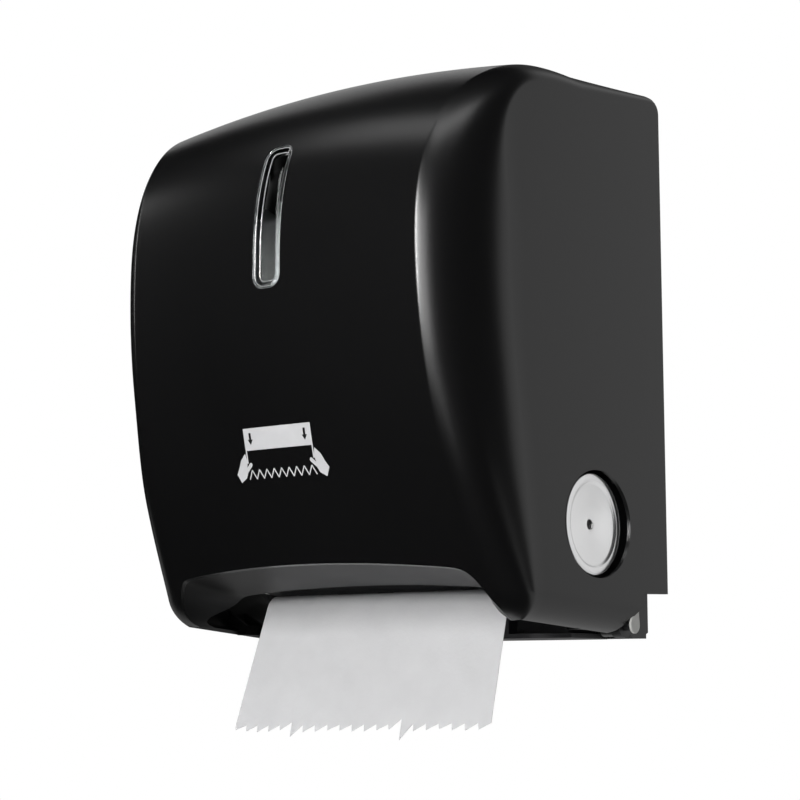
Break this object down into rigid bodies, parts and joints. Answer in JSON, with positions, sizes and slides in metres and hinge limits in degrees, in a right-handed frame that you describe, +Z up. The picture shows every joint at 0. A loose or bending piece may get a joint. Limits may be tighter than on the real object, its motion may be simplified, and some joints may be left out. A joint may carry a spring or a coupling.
{
  "type": "roll towel dispenser",
  "caption": "Wall-mounted roll towel dispenser with a hinged black cover, view window, hand-feed knob and a pull-driven drum that cuts each sheet as it is drawn.",
  "frame": {"origin": "centre of the four wall screw holes, on the wall plane", "axes": "+X to the right seen from the front, +Y into the wall, +Z up"},
  "size_m": [0.3298, 0.2197, 0.4448],
  "materials": {
    "cover_black": "satin",
    "clear_lens": "clear",
    "frame_plastic": "matte",
    "dark_plastic": "matte",
    "pale_plastic": "satin",
    "steel": "brushed",
    "silver_plastic": "satin metallic",
    "rubber": "matte",
    "paper": "matte",
    "cardboard": "matte"
  },
  "bodies": {
    "chassis": {"back_plate": "frame_plastic", "left_cheek": "frame_plastic", "right_cheek": "frame_plastic", "base_tray": "frame_plastic", "hinge_pins": "pale_plastic", "drum_bushes": "pale_plastic", "cheek_screws": "steel", "exit_guide": "dark_plastic", "cutter_cam": "pale_plastic", "spring_post": "steel", "return_spring": "steel", "lock_keeper": "steel", "pinch_pivot": "steel", "pinch_spring": "steel", "left_roll_arm": "frame_plastic", "arm_rail": "steel", "arm_spring": "steel", "paper_web": "paper"},
    "cover": {"cover_shell": "cover_black", "window_lens": "clear_lens", "hinge_arms": "cover_black", "lock_housing": "steel"},
    "lock": {"lock_barrel": "steel", "lock_cam": "steel"},
    "drum": {"drum_front": "dark_plastic", "drum_rear": "dark_plastic", "drum_end_left": "dark_plastic", "drum_end_right": "dark_plastic", "drum_shaft": "steel", "grip_bands": "rubber", "crank_disc": "dark_plastic", "crank_pin": "steel", "feed_knob": "silver_plastic", "knob_screw": "steel"},
    "blade": {"blade_carrier": "pale_plastic", "cutting_blade": "steel", "cam_follower": "pale_plastic"},
    "pinch_carriage": {"pinch_frame": "dark_plastic"},
    "pinch_roller": {"pinch_shaft": "steel", "pinch_rollers": "rubber"},
    "roll": {"paper_roll": "paper", "roll_core": "cardboard", "left_hub": "pale_plastic"},
    "roll_arm": {"right_roll_arm": "frame_plastic"},
    "arm_hub": {"right_hub": "pale_plastic"}
  },
  "joints": [
    {"name": "cover_hinge", "type": "hinge", "parent": "chassis", "child": "cover", "pos_m": [0, -0.0365, -0.177], "axis": [1, 0, 0], "range_deg": [0, 95], "deforming": ["paper_web"]},
    {"name": "lock_turn", "type": "hinge", "parent": "cover", "child": "lock", "pos_m": [0, -0.016, 0.194], "axis": [0, 0, 1], "range_deg": [0, 90]},
    {"name": "drum_spin", "type": "hinge", "parent": "chassis", "child": "drum", "pos_m": [0, -0.076, -0.114], "axis": [1, 0, 0], "continuous": true, "deforming": ["return_spring"]},
    {"name": "blade_swing", "type": "hinge", "parent": "drum", "child": "blade", "pos_m": [0, -0.088, -0.092], "axis": [-1, 0, 0], "range_deg": [0, 38], "stiffness_Nm_per_rad": 0.15, "springref_deg": -34.38},
    {"name": "pinch_swing", "type": "hinge", "parent": "chassis", "child": "pinch_carriage", "pos_m": [0, -0.02241, -0.1312], "axis": [1, 0, 0], "range_deg": [0, 6], "stiffness_Nm_per_rad": 4, "springref_deg": -8.59, "deforming": ["pinch_spring"]},
    {"name": "pinch_spin", "type": "hinge", "parent": "pinch_carriage", "child": "pinch_roller", "pos_m": [0, -0.04539, -0.15048], "axis": [1, 0, 0], "continuous": true},
    {"name": "roll_spin", "type": "hinge", "parent": "chassis", "child": "roll", "pos_m": [0, -0.105, 0.038], "axis": [1, 0, 0], "continuous": true},
    {"name": "arm_slide", "type": "slide", "parent": "chassis", "child": "roll_arm", "axis": [1, 0, 0], "range_m": [0, 0.017], "stiffness_N_per_m": 250, "springref_m": -0.012, "deforming": ["arm_spring"]},
    {"name": "hub_spin", "type": "hinge", "parent": "roll_arm", "child": "arm_hub", "pos_m": [0.112, -0.105, 0.038], "axis": [1, 0, 0], "continuous": true}
  ],
  "couplings": [
    {"joint": "pinch_spin", "follows": "drum_spin", "ratio": -5.3865},
    {"joint": "roll_spin", "follows": "drum_spin", "ratio": 0.4982},
    {"joint": "hub_spin", "follows": "drum_spin", "ratio": 0.4982}
  ]
}
